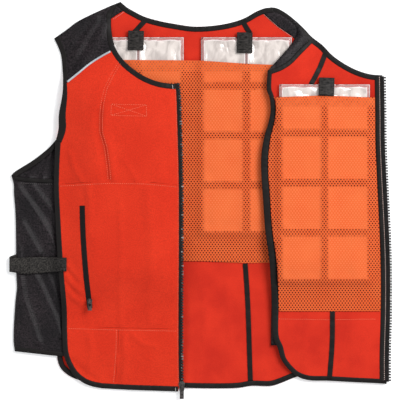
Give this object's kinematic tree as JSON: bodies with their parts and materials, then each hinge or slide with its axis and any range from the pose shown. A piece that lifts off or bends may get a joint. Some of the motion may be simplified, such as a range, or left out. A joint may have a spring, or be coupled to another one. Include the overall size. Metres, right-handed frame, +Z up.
{
  "type": "cooling vest",
  "caption": "Zip-front cooling vest laid flat and half open, with clear cooling packs in mesh pockets, black yokes, bound edges, side pocket and side strap.",
  "frame": {"origin": "on the floor below the middle of the laid-out vest", "axes": "+Z up from the floor the vest lies on, +Y towards its neck, +X towards the turned-open left front"},
  "size_m": [0.6076, 0.6348, 0.0325],
  "materials": {
    "shell": "woven orange-red cotton, matt",
    "lining": "woven red-orange lining, matt",
    "mesh": "knitted orange mesh with small holes",
    "stretch": "black knitted stretch fabric",
    "binding": "black woven binding tape",
    "webbing": "black webbing and brushed elastic",
    "piping": "reflective silver piping",
    "film": "clear flexible film over a white filling",
    "zip": "black moulded zip teeth and tape",
    "slider": "dark grey zinc slider and pull"
  },
  "bodies": {
    "vest": {"back_panel": "lining", "back_neck_binding": "binding", "back_hem_binding": "binding", "back_right_pack": "film", "back_left_pack": "film", "back_mesh_pocket": "mesh", "right_front_panel": "shell", "right_armhole_binding": "binding", "right_front_edge_binding": "binding", "right_front_neck_binding": "binding", "reflective_piping": "piping", "right_yoke": "stretch", "right_front_mesh_pocket": "mesh", "right_front_pack": "film", "pocket_bag": "zip", "pocket_zip_tape": "zip", "pocket_slider": "slider", "right_zip_tape": "zip", "right_zip_teeth": "zip", "front_slider": "slider", "right_side_panel": "stretch", "right_side_top_binding": "binding", "right_side_hem_binding": "binding", "side_strap": "webbing", "left_side_panel": "stretch", "left_front_panel": "lining", "left_front_edge_binding": "binding", "left_front_neck_binding": "binding", "left_zip_teeth": "zip", "left_zip_tape": "zip", "left_zip_binding": "binding", "left_yoke": "stretch", "left_front_pack": "film", "left_front_mesh_pocket": "mesh", "back_right_tab": "webbing", "back_left_tab": "webbing", "left_front_tab": "webbing", "back_right_seam_tape": "binding", "back_left_seam_tape": "binding", "back_lower_seam_tape": "binding", "left_upper_seam_tape": "binding", "left_lower_seam_tape": "binding"},
    "front_pull": {"front_pull": "slider"},
    "pocket_pull": {"pocket_pull": "slider"}
  },
  "joints": [
    {"name": "front_pull_hinge", "type": "hinge", "parent": "vest", "child": "front_pull", "pos_m": [-0.02717, -0.29815, 0.0093], "axis": [-1, 0, 0], "range_deg": [0, 165]},
    {"name": "pocket_pull_hinge", "type": "hinge", "parent": "vest", "child": "pocket_pull", "pos_m": [-0.17403, -0.16255, 0.02383], "axis": [-1, 0, 0], "range_deg": [0, 165]}
  ]
}
